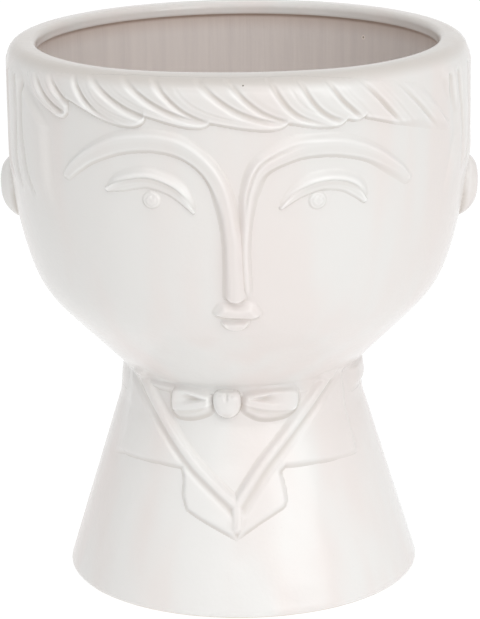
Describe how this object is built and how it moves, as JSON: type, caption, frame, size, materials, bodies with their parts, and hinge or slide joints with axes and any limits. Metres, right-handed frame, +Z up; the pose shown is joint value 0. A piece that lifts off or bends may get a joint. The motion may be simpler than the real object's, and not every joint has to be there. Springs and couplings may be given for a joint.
{
  "type": "head planter",
  "caption": "Glazed ceramic planter: a bowl shaped as a stylised head with swept hair, on a hollow bust pedestal with open coat and bow tie; a rubber plug closes the drain hole.",
  "frame": {"origin": "middle of the foot ring, on the table", "axes": "+Z up along the turned axis; the face looks along -Y; +X to the viewer's right"},
  "size_m": [0.1732, 0.1702, 0.198],
  "materials": {
    "white_glaze": "gloss",
    "plug_rubber": "matt"
  },
  "bodies": {
    "planter": {"head_bowl": "white_glaze", "pedestal": "white_glaze", "shirt_collar": "white_glaze", "coat_collar": "white_glaze", "left_lapel": "white_glaze", "right_lapel": "white_glaze", "bow_tie_knot": "white_glaze", "bow_tie_left_wing": "white_glaze", "bow_tie_right_wing": "white_glaze", "left_ear": "white_glaze", "right_ear": "white_glaze", "left_brow": "white_glaze", "right_brow": "white_glaze", "left_eyelid": "white_glaze", "right_eyelid": "white_glaze", "left_pupil": "white_glaze", "right_pupil": "white_glaze", "upper_lip": "white_glaze", "lower_lip": "white_glaze", "hair_fringe": "white_glaze", "left_side_hair": "white_glaze", "right_side_hair": "white_glaze", "back_hair": "white_glaze"},
    "plug": {"drain_plug": "plug_rubber"}
  },
  "joints": [
    {"name": "plug_lift", "type": "slide", "parent": "planter", "child": "plug", "axis": [0, 0, 1], "range_m": [0, 0.13]}
  ]
}
